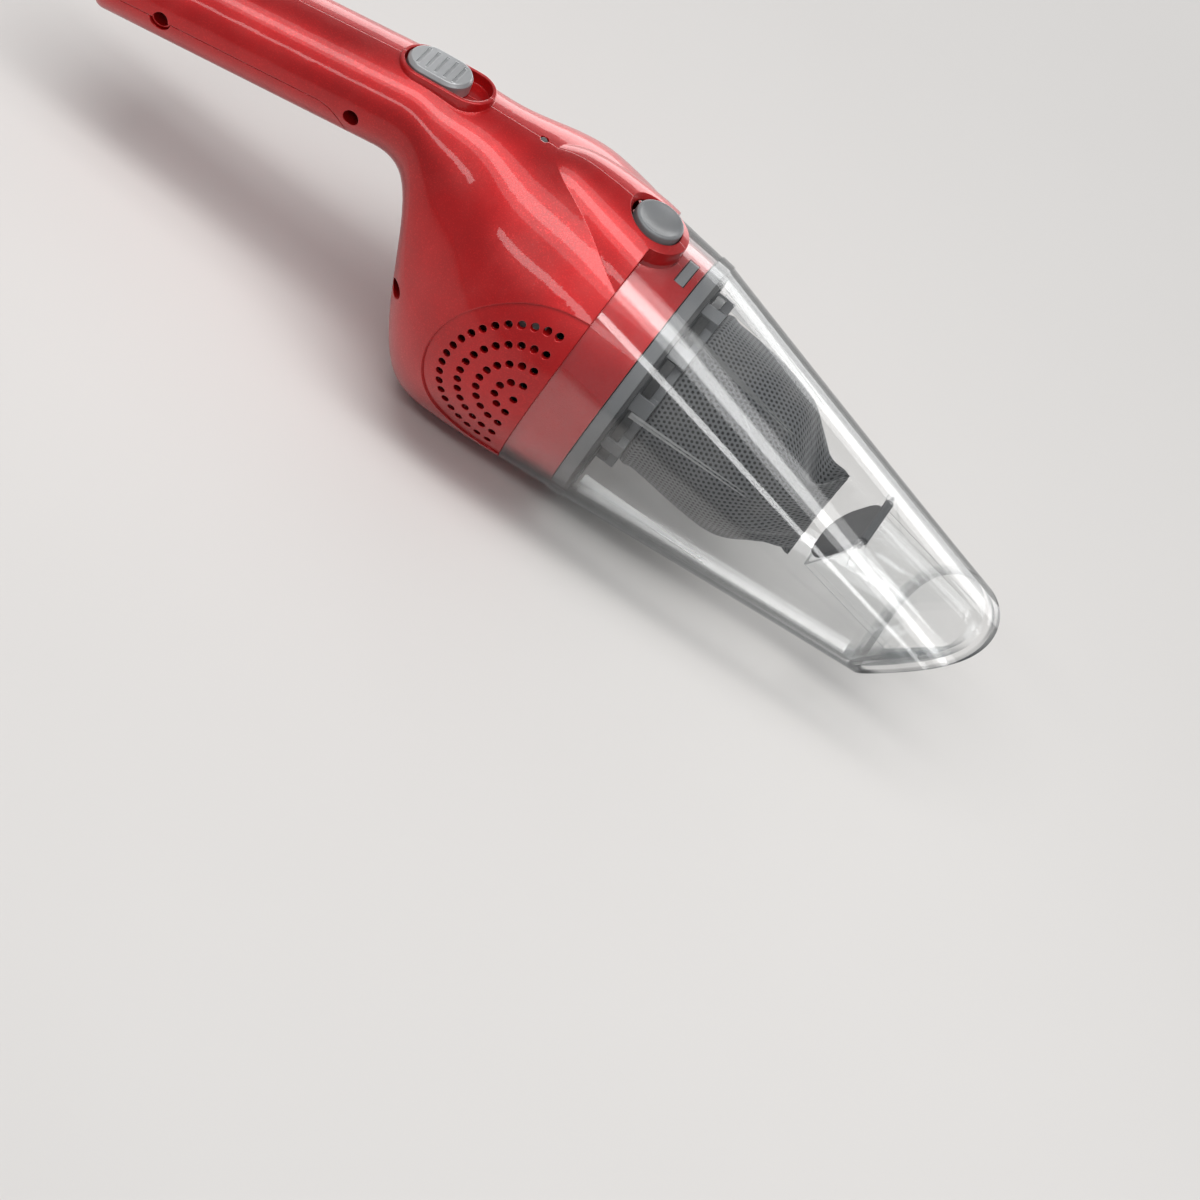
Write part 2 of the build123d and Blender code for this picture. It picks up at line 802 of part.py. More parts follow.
can_rear = can_front - motor_length
with BuildPart() as motor_end_cap:
    with BuildSketch(across(can_rear - 0.1)):
        Circle(motor_radius - 0.4)
    extrude(amount=-end_cap_length)
    fillet(motor_end_cap.edges().group_by(Axis.X)[0], 1.6)
    with BuildSketch(across(can_rear)):
        Circle(shaft_radius + shaft_gap)
    extrude(amount=-20, mode=Mode.SUBTRACT)
    with BuildSketch(across(can_rear)):
        with PolarLocations(11.0, 2):
            Rectangle(5.2, 1.2)
    extrude(amount=-20, mode=Mode.SUBTRACT)
finish(motor_end_cap, "motor_end_cap")

with BuildPart() as motor_terminals:
    with BuildSketch(across(can_rear - 3.0)):
        with PolarLocations(11.0, 2):
            Rectangle(4.8, 0.8)
    extrude(amount=-8)
finish(motor_terminals, "motor_terminals")

with BuildPart() as motor_screws:
    with BuildSketch(across(plate_x)):
        with PolarLocations(8.0, 2):
            Circle(2.5)
    extrude(amount=1.4)
    with BuildSketch(across(plate_x)):
        with PolarLocations(8.0, 2):
            Circle(1.25)
    extrude(amount=-plate_thickness - 3.5)
finish(motor_screws, "motor_screws")

with BuildPart() as motor_ring:
    with BuildSketch(across(joint_x - motor_ring_behind)):
        Circle(motor_ring_radius)
        Circle(motor_radius + 0.05, mode=Mode.SUBTRACT)
    extrude(amount=-motor_ring_length)
finish(motor_ring, "motor_ring")

impeller_front = joint_x + 3.0
with BuildPart() as motor_shaft:
    with BuildSketch(across(can_rear - end_cap_length - 2.0)):
        Circle(shaft_radius)
    extrude(amount=impeller_front + 1.5 - can_rear + end_cap_length + 2.0)
finish(motor_shaft, "motor_shaft")

core_length = magnet_length - 2.0
commutator_front = can_rear + 7.0
with BuildPart() as rotor_core:
    with BuildSketch(across(magnet_front - 1.0)):
        Circle(core_radius)
        with PolarLocations(core_radius, 5):
            Rectangle(6.0, 1.6, mode=Mode.SUBTRACT)
    extrude(amount=-core_length)
    with BuildSketch(across(commutator_front)):
        Circle(3.6)
    extrude(amount=magnet_front - 1.0 - core_length - commutator_front)
    with BuildSketch(across(commutator_front)):
        Circle(5.0)
    extrude(amount=-6.0)
    with BuildSketch(across(can_rear)):
        Circle(shaft_radius + 0.01)
    extrude(amount=motor_length, mode=Mode.SUBTRACT)
finish(rotor_core, "rotor_core")

back_plate = 1.4
impeller_back = joint_x - 4.6
with BuildPart() as impeller:
    with BuildSketch(across(impeller_back)):
        Circle(impeller_radius)
    extrude(amount=back_plate)
    with BuildSketch(across(impeller_back)):
        Circle(6.0)
    extrude(amount=impeller_front - impeller_back)
    with BuildSketch(across(impeller_back)):
        with PolarLocations(impeller_radius / 2 + 4.5, blade_count):
            Rectangle(impeller_radius - 14.0, 1.3, rotation=-18)
    extrude(amount=impeller_front - impeller_back)
    with BuildSketch(across(impeller_back - 2)):
        Circle(shaft_radius + 0.01)
    extrude(amount=30, mode=Mode.SUBTRACT)
finish(impeller, "impeller")

cover_x = impeller_front + 1.2
cover_radius = arm_top - arm_thickness - button_travel - arm_gap
post_radius = 1.7
with BuildPart() as fan_cover:
    with BuildSketch(across(cover_x)):
        Circle(cover_radius)
        Circle(eye_radius, mode=Mode.SUBTRACT)
    extrude(amount=2.0)
    with BuildSketch(across(cover_x)):
        with PolarLocations(cover_radius - post_radius - 0.1, 6, start_angle=30):
            Circle(post_radius)
    extrude(amount=plate_x - cover_x)
finish(fan_cover, "fan_cover")

grille_x = joint_x + spigot_length - 0.2 - grille_thickness
grille_radius = spigot_outer(spigot_length) - casing_wall - 0.15
with BuildPart() as intake_grille:
    with BuildSketch(across(grille_x)):
        Circle(grille_radius)
        for ring in range(1, 5):
            with PolarLocations(7.0 * ring, 6 * ring):
                Circle(2.6, mode=Mode.SUBTRACT)
        Circle(2.6, mode=Mode.SUBTRACT)
    extrude(amount=grille_thickness)
finish(intake_grille, "intake_grille")


# dust cup
def cup_size(past, inset):
    # half width, height of the middle and half height of the cup, past the round collar
    t = (past - bead_end) / (nozzle_length - bead_end)
    width = mix(collar_radius, nozzle_half_width, t) - inset
    tall = mix(collar_radius, nozzle_half_height, t) - inset
    return width, mix(0.0, -nozzle_drop, t), tall


def cup_face(past, inset):
    if past <= bead_end:
        radius = cup_outer(past) - inset
        return oval(joint_x + past, radius, 0.0, radius, -radius)
    width, middle, tall = cup_size(past, inset)
    return oval(joint_x + past, width, middle, middle + tall, middle - tall)


lip_height = cup_size(nozzle_length, 0.0)[1] + nozzle_half_height
mouth_plane = Plane(
    origin=(joint_x + nozzle_length, 0, lip_height),
    x_dir=(0, 1, 0),
    z_dir=(sin(radians(mouth_angle)), 0, cos(radians(mouth_angle))),
)


def past_mouth(set_back):
    # everything in front of the slanted, bulging mouth face
    with BuildPart() as zone:
        with BuildSketch(mouth_plane):
            Rectangle(200, 200)
            with Locations((0, mouth_bulge)):
                Circle(mouth_bulge - set_back, mode=Mode.SUBTRACT)
        extrude(amount=90, both=True)
    return zone.part


duct_plane = Plane(
    origin=(joint_x + duct_start, 0, duct_start_height),
    x_dir=(0, 1, 0),
    z_dir=(cos(duct_angle), 0, -sin(duct_angle)),
)
# the slanted inner end of the duct, its normal to the rear
seat_plane = Plane(
    origin=duct_plane.origin,
    x_dir=(0, 1, 0),
    z_dir=(-cos(radians(flap_angle)), 0, sin(radians(flap_angle))),
)
hinge_reach = 15.6  # flap pin above the middle of the seat
flap_gap = 0.35
hinge_point = seat_plane.from_local_coords(Vector(0, -hinge_reach, flap_gap + flap_thickness / 2))
barrel_radius = 1.8
ear_inside = flap_width / 2 + 0.3
ear_thickness = 2.0
ear_radius = 2.2

with BuildPart() as duct_block:
    with BuildSketch(duct_plane.offset(-duct_lead)):
        RectangleRounded(duct_width + 2 * duct_wall, duct_height + 2 * duct_wall, 3.0)
    extrude(amount=past_tip - duct_start + duct_lead)
    with BuildSketch(seat_plane):
        Rectangle(200, 200)
    extrude(amount=100, mode=Mode.SUBTRACT)

with BuildPart() as duct_bore:
    with BuildSketch(duct_plane.offset(-duct_lead)):
        RectangleRounded(duct_width, duct_height, 2.0)
    extrude(amount=past_tip - duct_start + duct_lead)

with BuildPart() as flap_ears:
    for y in (-ear_inside, ear_inside + ear_thickness):
        with BuildSketch(upright(y)):
            with Locations((hinge_point.X, hinge_point.Z)):
                Circle(ear_radius)
            with BuildLine():
                Polyline(
                    (hinge_point.X - ear_radius, hinge_point.Z),
                    (hinge_point.X + ear_radius, hinge_point.Z),
                    (hinge_point.X + 12, hinge_point.Z - 12),
                    (hinge_point.X + 1.0, hinge_point.Z - 12),
                    close=True,
                )
            make_face()
        extrude(amount=ear_thickness)
    with BuildSketch(upright(60)):
        with Locations((hinge_point.X, hinge_point.Z)):
            Circle(flap_pin_radius)
    extrude(amount=120, mode=Mode.SUBTRACT)


def cup_reach(past, turn):
    # distance from the body axis to the cup's inner wall, turned from the top
    width, middle, tall = cup_size(past, cup_wall)
    a = (sin(turn) / width) ** 2 + (cos(turn) / tall) ** 2
    b = -cos(turn) * middle / tall**2
    return (-b + sqrt(b * b - a * ((middle / tall) ** 2 - 1))) / a


fin_start = bead_end + 3.0
with BuildPart() as cup_fins:
    for k in range(fin_count):
        turn = 2 * pi * (k + 0.5) / fin_count
        radial = Plane(origin=(joint_x, 0, 0), x_dir=(1, 0, 0), z_dir=(0, -cos(turn), sin(turn)))
        with BuildSketch(radial):
            with BuildLine():
                Polyline(
                    (fin_start, cup_reach(fin_start, turn) - fin_height),
                    (fin_start + fin_length, cup_reach(fin_start + fin_length, turn) - 0.4),
                    (fin_start + fin_length, 80),
                    (fin_start, 80),
                    close=True,
                )
            make_face()
        extrude(amount=fin_thickness / 2, both=True)

cup_step = (past_tip - bead_end) / 10
cup_stations = [bead_end + cup_step * k for k in range(11)]
with BuildPart() as cup_room:
    loft([cup_face(past, cup_wall) for past in [-5.0] + cup_stations], ruled=True)

with BuildPart() as cup_cavity:
    add(cup_room.part)
    add(past_mouth(mouth_set_back + cup_wall), mode=Mode.SUBTRACT)
    add(duct_block.part, mode=Mode.SUBTRACT)
    add(flap_ears.part, mode=Mode.SUBTRACT)
    add(cup_fins.part, mode=Mode.SUBTRACT)

with BuildPart() as cup_pocket:
    add(cup_room.part)
    add(past_mouth(mouth_set_back), mode=Mode.INTERSECT)

bead_start = spigot_length + 1.0
with BuildPart() as dust_cup:
    loft([cup_face(past, 0.0) for past in [seam_gap] + cup_stations], ruled=True)
    loft([cup_face(bead_start, -bead_height), cup_face(bead_end, -bead_height)], ruled=True)
    add(past_mouth(0.0), mode=Mode.SUBTRACT)
    add(cup_cavity.part, mode=Mode.SUBTRACT)
    add(cup_pocket.part, mode=Mode.SUBTRACT)
    add(duct_bore.part, mode=Mode.SUBTRACT)
    with BuildSketch(Plane.XY.offset(20)):
        with Locations((button_x, 0)):
            Circle(boss_radius + boss_gap)
    extrude(amount=80, mode=Mode.SUBTRACT)
finish(dust_cup, "dust_cup")

with BuildPart() as flap_pin:
    with BuildSketch(upright(ear_inside + ear_thickness)):
        with Locations((hinge_point.X, hinge_point.Z)):
            Circle(flap_pin_radius)
    extrude(amount=2 * (ear_inside + ear_thickness))
finish(flap_pin, "flap_pin")

with BuildPart() as inlet_flap:
    with BuildSketch(seat_plane.offset(flap_gap)):
        with Locations((0, flap_length / 2 - hinge_reach)):
            flap_face = Rectangle(flap_width, flap_length)
        fillet(flap_face.vertices().group_by(Axis.Z)[0], flap_round)
        fillet(flap_face.vertices().group_by(Axis.Z)[-1], 3.0)
    extrude(amount=flap_thickness)
    with BuildSketch(upright(flap_width / 2 - 2)):
        with Locations((hinge_point.X, hinge_point.Z)):
            Circle(barrel_radius)
    extrude(amount=flap_width - 4)
    with BuildSketch(upright(60)):
        with Locations((hinge_point.X, hinge_point.Z)):
            Circle(flap_pin_radius + pin_gap)
    extrude(amount=120, mode=Mode.SUBTRACT)
finish(inlet_flap, "inlet_flap")

# filter: flange, seal, lock ring, cage and sock
flange_x = filter_x + flange_gap
seal_x = flange_x + flange_thickness
seal_past = spigot_length + flange_gap + flange_thickness + seal_thickness
flange_radius = cup_inner(seal_past) - 0.3
neck_radius = neck_bore + neck_wall
with BuildPart() as filter_frame:
    with BuildSketch(across(flange_x)):
        Circle(flange_radius)
    extrude(amount=flange_thickness)
    with BuildSketch(across(seal_x, filter_height)):
        Circle(neck_radius)
    extrude(amount=neck_length)
    with BuildSketch(across(seal_x + seal_thickness, filter_height)):
        with PolarLocations(neck_radius, lock_slots, start_angle=18):
            Rectangle(2 * tab_height, lock_slot_width - 2 * tab_gap)
    extrude(amount=neck_length - seal_thickness)
    with BuildSketch(across(flange_x, filter_height)):
        Circle(neck_bore)
    extrude(amount=60, mode=Mode.SUBTRACT)
finish(filter_frame, "filter_frame")

with BuildPart() as filter_seal:
    with BuildSketch(across(seal_x)):
        Circle(flange_radius)
        Circle(flange_radius - 6.0, mode=Mode.SUBTRACT)
    extrude(amount=seal_thickness)
finish(filter_seal, "filter_seal")

lock_x = seal_x + seal_thickness + lock_gap
with BuildPart() as filter_lock_ring:
    with BuildSketch(across(lock_x, filter_height)):
        Circle(lock_radius)
        with PolarLocations(neck_radius, lock_slots, start_angle=18):
            Rectangle(2 * (tab_height + tab_gap), lock_slot_width, mode=Mode.SUBTRACT)
        Circle(neck_radius + 0.05, mode=Mode.SUBTRACT)
    extrude(amount=lock_thickness)
finish(filter_lock_ring, "filter_lock_ring")

cage_rear = seal_x + 2.0
cage_shoulder = joint_x + sock_start + 0.2
cage_nose = joint_x + cage_front
with BuildPart() as filter_cage:
    rear_face = round_face(cage_rear, cage_radius, filter_height)
    shoulder_face = round_face(cage_shoulder, cage_radius, filter_height)
    loft([rear_face, shoulder_face], ruled=True)
    loft([shoulder_face, round_face(cage_nose, cage_front_radius, filter_height)], ruled=True)
    rear_hole = round_face(cage_rear, cage_radius - cage_wall, filter_height)
    shoulder_hole = round_face(cage_shoulder, cage_radius - cage_wall, filter_height)
    nose_hole = round_face(cage_nose, cage_front_radius - cage_wall, filter_height)
    loft([rear_hole, shoulder_hole], ruled=True, mode=Mode.SUBTRACT)
    loft([shoulder_hole, nose_hole], ruled=True, mode=Mode.SUBTRACT)
    for start, length, width in ((3.0, 18.0, 14.0), (24.0, 16.0, 11.0)):
        with BuildSketch(across(cage_shoulder + start, filter_height)):
            with PolarLocations(cage_radius - 4, 8):
                Rectangle(40, width)
            Circle(10, mode=Mode.SUBTRACT)
        extrude(amount=length, mode=Mode.SUBTRACT)
finish(filter_cage, "filter_cage")


def sock_face(past, inset):
    # round at the neck, pressed flat and upright at the closed end
    t = (past - sock_start) / (sock_end - sock_start)
    width = mix(sock_radius, sock_end_half_width, t**4) - inset
    tall = mix(sock_radius, sock_end_half_height, ease(2 * t - 1)) - inset
    middle = mix(filter_height, sock_end_height, ease(t))
    return oval(joint_x + past, width, middle, middle + tall, middle - tall)


sock_steps = [sock_start + (sock_end - sock_start) * k / 6 for k in range(7)]
inner_steps = [sock_start + (sock_end - sock_wall - sock_start) * k / 6 for k in range(7)]
with BuildPart() as filter_sock:
    loft([sock_face(past, 0.0) for past in sock_steps])
    loft([sock_face(past, sock_wall) for past in inner_steps], mode=Mode.SUBTRACT)
finish(filter_sock, "filter_sock")
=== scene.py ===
import math

import bpy
from mathutils import Matrix, Vector


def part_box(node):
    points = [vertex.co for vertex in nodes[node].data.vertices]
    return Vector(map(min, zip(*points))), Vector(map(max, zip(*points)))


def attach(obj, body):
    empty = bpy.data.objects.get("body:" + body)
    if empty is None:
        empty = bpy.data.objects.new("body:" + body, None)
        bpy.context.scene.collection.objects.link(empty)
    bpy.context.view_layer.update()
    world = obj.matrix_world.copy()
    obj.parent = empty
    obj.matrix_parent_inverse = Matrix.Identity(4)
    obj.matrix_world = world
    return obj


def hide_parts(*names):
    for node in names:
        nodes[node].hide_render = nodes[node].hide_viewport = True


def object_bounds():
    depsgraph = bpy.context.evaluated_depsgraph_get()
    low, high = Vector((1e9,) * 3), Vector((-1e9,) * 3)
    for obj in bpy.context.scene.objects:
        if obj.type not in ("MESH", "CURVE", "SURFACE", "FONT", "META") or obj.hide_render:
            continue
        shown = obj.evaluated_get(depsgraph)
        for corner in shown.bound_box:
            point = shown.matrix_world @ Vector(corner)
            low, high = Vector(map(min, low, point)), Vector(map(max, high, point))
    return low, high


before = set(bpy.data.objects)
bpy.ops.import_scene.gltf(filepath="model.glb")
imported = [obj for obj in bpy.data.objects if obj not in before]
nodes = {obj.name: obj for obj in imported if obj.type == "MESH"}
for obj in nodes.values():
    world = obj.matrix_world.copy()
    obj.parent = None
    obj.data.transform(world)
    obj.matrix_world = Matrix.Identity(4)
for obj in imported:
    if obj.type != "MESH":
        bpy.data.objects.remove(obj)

cadLow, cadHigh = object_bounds()
scene = bpy.context.scene
scene.view_settings.view_transform = "Standard"
scene.cycles.transparent_max_bounces = 32
print("frame loaded:", len(nodes), "CAD nodes")


def feed(tree, socket, value):
    # links the socket when the value is another socket, and sets it otherwise
    if isinstance(value, bpy.types.NodeSocket):
        tree.links.new(value, socket)
    else:
        socket.default_value = value


def addNode(tree, kind, inputs=None, **settings):
    made = tree.nodes.new(kind)
    for name, value in settings.items():
        setattr(made, name, value)
    for name, value in (inputs or {}).items():
        feed(tree, made.inputs[name], value)
    return made


def doMath(tree, operation, *values):
    made = addNode(tree, "ShaderNodeMath", operation=operation)
    for socket, value in zip(made.inputs, values):
        feed(tree, socket, value)
    return made.outputs[0]


def mapRange(tree, value, low, high, toLow=0.0, toHigh=1.0, smooth=False):
    made = addNode(
        tree,
        "ShaderNodeMapRange",
        {"Value": value, "From Min": low, "From Max": high, "To Min": toLow, "To Max": toHigh},
        interpolation_type="SMOOTHSTEP" if smooth else "LINEAR",
    )
    return made.outputs["Result"]


def mixColour(tree, factor, first, second):
    made = addNode(tree, "ShaderNodeMix", data_type="RGBA")
    sockets = (made.inputs[0], made.inputs[6], made.inputs[7])
    for socket, value in zip(sockets, (factor, first, second)):
        feed(tree, socket, value)
    return made.outputs[2]


def newGroup(name, inputs, outputs):
    group = bpy.data.node_groups.new(name, "ShaderNodeTree")
    for label, kind, value in inputs:
        socket = group.interface.new_socket(name=label, in_out="INPUT", socket_type=kind)
        if value is not None:
            socket.default_value = value
    for label, kind in outputs:
        group.interface.new_socket(name=label, in_out="OUTPUT", socket_type=kind)
    given = group.nodes.new("NodeGroupInput").outputs
    result = group.nodes.new("NodeGroupOutput").inputs
    return group, given, result


def useGroup(tree, group, inputs):
    return addNode(tree, "ShaderNodeGroup", inputs, node_tree=group).outputs


def startMaterial(name):
    material = bpy.data.materials.new(name)
    material.use_nodes = True
    tree = material.node_tree
    tree.nodes.clear()
    output = tree.nodes.new("ShaderNodeOutputMaterial")
    coords = tree.nodes.new("ShaderNodeTexCoord")
    return material, tree, output, coords.outputs["Object"]


def colour(*channels):
    return (*channels, 1.0)


# shared effects: moulded grain, fine dust, and edges lightened partly as wear and partly as a
# painted highlight
vectorKind, floatKind = "NodeSocketVector", "NodeSocketFloat"

grainSettings = {"scale": 1500.0, "detail": 3.0, "mottleScale": 28.0, "mottleDetail": 4.0}

mouldGrain, given, result = newGroup(
    "mouldGrain",
    [("Vector", vectorKind, None), ("Scale", floatKind, grainSettings["scale"])],
    [("Height", floatKind), ("Mottle", floatKind)],
)
tree = mouldGrain
fine = addNode(
    tree,
    "ShaderNodeTexNoise",
    {"Vector": given["Vector"], "Scale": given["Scale"], "Detail": grainSettings["detail"]},
)
broad = addNode(
    tree,
    "ShaderNodeTexNoise",
    {
        "Vector": given["Vector"],
        "Scale": grainSettings["mottleScale"],
        "Detail": grainSettings["mottleDetail"],
    },
)
tree.links.new(fine.outputs[0], result["Height"])
tree.links.new(broad.outputs[0], result["Mottle"])

dustSettings = {
    "amount": 0.3,
    "speckScale": 420.0,
    "speckRim": (0.16, 0.1),
    "patchScale": 60.0,
    "patchDetail": 5.0,
    "patchSpan": (0.45, 0.75),
    "facingSpan": (0.1, 1.0),
    "leastFacing": 0.35,
    "filmShare": 0.35,
}

fineDust, given, result = newGroup(
    "fineDust",
    [("Vector", vectorKind, None), ("Amount", floatKind, dustSettings["amount"])],
    [("Mask", floatKind)],
)
tree = fineDust
specks = addNode(
    tree, "ShaderNodeTexVoronoi", {"Vector": given["Vector"], "Scale": dustSettings["speckScale"]}
)
patches = addNode(
    tree,
    "ShaderNodeTexNoise",
    {
        "Vector": given["Vector"],
        "Scale": dustSettings["patchScale"],
        "Detail": dustSettings["patchDetail"],
    },
)
surface = tree.nodes.new("ShaderNodeNewGeometry")
facing = addNode(tree, "ShaderNodeSeparateXYZ", {"Vector": surface.outputs["Normal"]})
speckMask = mapRange(tree, specks.outputs["Distance"], *dustSettings["speckRim"])
patchMask = mapRange(tree, patches.outputs[0], *dustSettings["patchSpan"])
upward = mapRange(
    tree, facing.outputs["Z"], *dustSettings["facingSpan"], toLow=dustSettings["leastFacing"]
)
film = doMath(tree, "MULTIPLY", patchMask, dustSettings["filmShare"])
both = doMath(tree, "MAXIMUM", doMath(tree, "MULTIPLY", speckMask, patchMask), film)
lying = doMath(tree, "MULTIPLY", both, upward)
tree.links.new(doMath(tree, "MULTIPLY", lying, given["Amount"]), result["Mask"])

edgeSettings = {"radius": 0.0006, "samples": 6, "flat": 0.995, "sharp": 0.8}

edgeWearAndHighlight, given, result = newGroup(
    "edgeWearAndHighlight",
    [("Radius", floatKind, edgeSettings["radius"])],
    [("Edge", floatKind), ("Normal", vectorKind)],
)
tree = edgeWearAndHighlight
bevel = addNode(
    tree, "ShaderNodeBevel", {"Radius": given["Radius"]}, samples=edgeSettings["samples"]
)
plain = tree.nodes.new("ShaderNodeNewGeometry")
lean = addNode(
    tree,
    "ShaderNodeVectorMath",
    {0: bevel.outputs[0], 1: plain.outputs["Normal"]},
    operation="DOT_PRODUCT",
)
# edges get a lighter colour: partly wear, partly a painted highlight along the rims
edgeWearAndHighlightMask = mapRange(tree, lean.outputs["Value"], edgeSettings["flat"], edgeSettings["sharp"])
tree.links.new(edgeWearAndHighlightMask, result["Edge"])
tree.links.new(bevel.outputs[0], result["Normal"])
print("shared effects ready")


usualPlastic = {
    "grain": 1600.0,
    "edge": 0.0006,
    "dust": 0.25,
    "wearAndHighlight": 0.35,
    "bump": 0.25,
    "bumpDepth": 0.0001,
    "metal": 0.0,
    "coat": 0.0,
    "coatRough": 0.1,
    "shine": 0.5,
    "deepShare": 0.86,
    "brightShare": 1.12,
    "wornHighlightShare": 1.5,
    "wornHighlightLift": 0.03,
    "mottleSpan": (0.3, 0.7),
    "roughSpread": 0.05,
    "dustColour": (0.42, 0.40, 0.37),
    "dustRough": 0.4,
}


def mouldedPlastic(name, given):
    # plastic, rubber or metal with mottled colour, grain, lighter edges that are partly wear and
    # partly painted highlight, and a little dust
    look = {**usualPlastic, **given}
    material, tree, output, coords = startMaterial(name)
    grain = useGroup(tree, mouldGrain, {"Vector": coords, "Scale": look["grain"]})
    edge = useGroup(tree, edgeWearAndHighlight, {"Radius": look["edge"]})
    dust = useGroup(tree, fineDust, {"Vector": coords, "Amount": look["dust"]})
    deep = colour(*[look["deepShare"] * c for c in look["colour"]])
    bright = colour(*[min(1.0, look["brightShare"] * c) for c in look["colour"]])
    wornAndHighlitColour = colour(
        *[min(1.0, look["wornHighlightShare"] * c + look["wornHighlightLift"]) for c in look["colour"]]
    )
    mottle = mapRange(tree, grain["Mottle"], *look["mottleSpan"])
    # the lighter edge colour is partly wear, partly a painted highlight
    wornAndHighlit = doMath(tree, "MULTIPLY", edge["Edge"], look["wearAndHighlight"])
    base = mixColour(tree, mottle, deep, bright)
    base = mixColour(tree, wornAndHighlit, base, wornAndHighlitColour)
    base = mixColour(tree, dust["Mask"], base, colour(*look["dustColour"]))
    smoothest, roughest = look["rough"] - look["roughSpread"], look["rough"] + look["roughSpread"]
    rough = mapRange(tree, grain["Mottle"], *look["mottleSpan"], smoothest, roughest)
    dustRough = doMath(tree, "MULTIPLY", dust["Mask"], look["dustRough"])
    rough = doMath(tree, "ADD", rough, dustRough)
    bump = addNode(
        tree,
        "ShaderNodeBump",
        {
            "Strength": look["bump"],
            "Distance": look["bumpDepth"],
            "Height": grain["Height"],
            "Normal": edge["Normal"],
        },
    )
    shader = addNode(
        tree,
        "ShaderNodeBsdfPrincipled",
        {
            "Base Color": base,
            "Roughness": rough,
            "Normal": bump.outputs[0],
            "Metallic": look["metal"],
            "Coat Weight": look["coat"],
            "Coat Roughness": look["coatRough"],
            "Specular IOR Level": look["shine"],
        },
    )
    tree.links.new(shader.outputs[0], output.inputs["Surface"])
    return material


redLook = {
    "deep": (0.33, 0.001, 0.002),
    "bright": (0.50, 0.002, 0.004),
    "flake": (0.75, 0.015, 0.015),
    "flakeSize": 2600.0,
    "flakeSpan": (0.72, 1.0),
    "flakeShare": 0.35,
    "flakeShine": 0.08,
    "rough": 0.4,
    "metal": 0.5,
    "coat": 0.55,
    "coatRough": 0.05,
    "grain": 700.0,
    "bump": 0.06,
    "bumpDepth": 0.0001,
    "mottleSpan": (0.3, 0.7),
    "edge": 0.0006,
    "wearAndHighlight": 0.25,
    "dust": 0.12,
    "dustColour": (0.55, 0.42, 0.38),
    "dustRough": 0.4,
}


def metallicRed(name, look):
    # red with a fine metal flake under a clear coat
    material, tree, output, coords = startMaterial(name)
    grain = useGroup(tree, mouldGrain, {"Vector": coords, "Scale": look["grain"]})
    edge = useGroup(tree, edgeWearAndHighlight, {"Radius": look["edge"]})
    dust = useGroup(tree, fineDust, {"Vector": coords, "Amount": look["dust"]})
    cells = addNode(tree, "ShaderNodeTexVoronoi", {"Vector": coords, "Scale": look["flakeSize"]})
    chance = addNode(tree, "ShaderNodeSeparateColor", {"Color": cells.outputs["Color"]})
    sparkle = mapRange(tree, chance.outputs[0], *look["flakeSpan"])
    mottle = mapRange(tree, grain["Mottle"], *look["mottleSpan"])
    flaked = doMath(tree, "MULTIPLY", sparkle, look["flakeShare"])
    # edges are mixed towards the bright flake colour: partly wear, partly a painted highlight
    wornAndHighlit = doMath(tree, "MULTIPLY", edge["Edge"], look["wearAndHighlight"])
    flake = colour(*look["flake"])
    base = mixColour(tree, mottle, colour(*look["deep"]), colour(*look["bright"]))
    base = mixColour(tree, flaked, base, flake)
    base = mixColour(tree, wornAndHighlit, base, flake)
    base = mixColour(tree, dust["Mask"], base, colour(*look["dustColour"]))
    rough = mapRange(tree, sparkle, 0.0, 1.0, look["rough"], look["rough"] - look["flakeShine"])
    dustRough = doMath(tree, "MULTIPLY", dust["Mask"], look["dustRough"])
    rough = doMath(tree, "ADD", rough, dustRough)
    bump = addNode(
        tree,
        "ShaderNodeBump",
        {
            "Strength": look["bump"],
            "Distance": look["bumpDepth"],
            "Height": grain["Height"],
            "Normal": edge["Normal"],
        },
    )
    shader = addNode(
        tree,
        "ShaderNodeBsdfPrincipled",
        {
            "Base Color": base,
            "Roughness": rough,
            "Normal": bump.outputs[0],
            "Coat Normal": bump.outputs[0],
            "Metallic": look["metal"],
            "Coat Weight": look["coat"],
            "Coat Roughness": look["coatRough"],
        },
    )
    tree.links.new(shader.outputs[0], output.inputs["Surface"])
    return material


clearLook = {
    "tint": (0.992, 0.994, 0.994),
    # edge is a painted shade: the darker tint laid on walls seen at a grazing angle
    "edge": (0.34, 0.36, 0.37),
    # rim is a painted shade: the dark tint along the edge of the mouth
    "rim": (0.12, 0.13, 0.14),
    "rough": 0.06,
    "mirror": 0.045,
    "mouthPoint": (0.421, 0.0, 0.0034),
    "mouthNormal": (0.743, 0.0, -0.669),
    "mouthBulge": 0.085,
    "rimDepth": 0.0013,
    "collarEnd": 0.2565,
    "tip": 0.421,
    "collarRadius": 0.0546,
    "tipWide": 0.0352,
    "tipTall": 0.0174,
    "tipMiddle": -0.014,
    "finEnd": 0.3125,
    "dust": 0.05,
    "edgeSpan": (0.60, 0.78),
    "rimFacing": (0.35, 0.7),
    "leastRim": 0.25,
    "leastShare": -0.2,
    "wallSpan": (0.95, 0.985),
    "curve": 5.0,
    "grazingMirror": 0.8,
    "flankSpan": (0.45, 0.25),
    "finFade": 0.004,
    "collarFade": 0.001,
    # the flank share and the film colour paint a pale highlight on the fin flanks; the film colour
    # also serves as the dust
    "flankHighlight": 0.3,
    "film": (0.8, 0.8, 0.79),
}


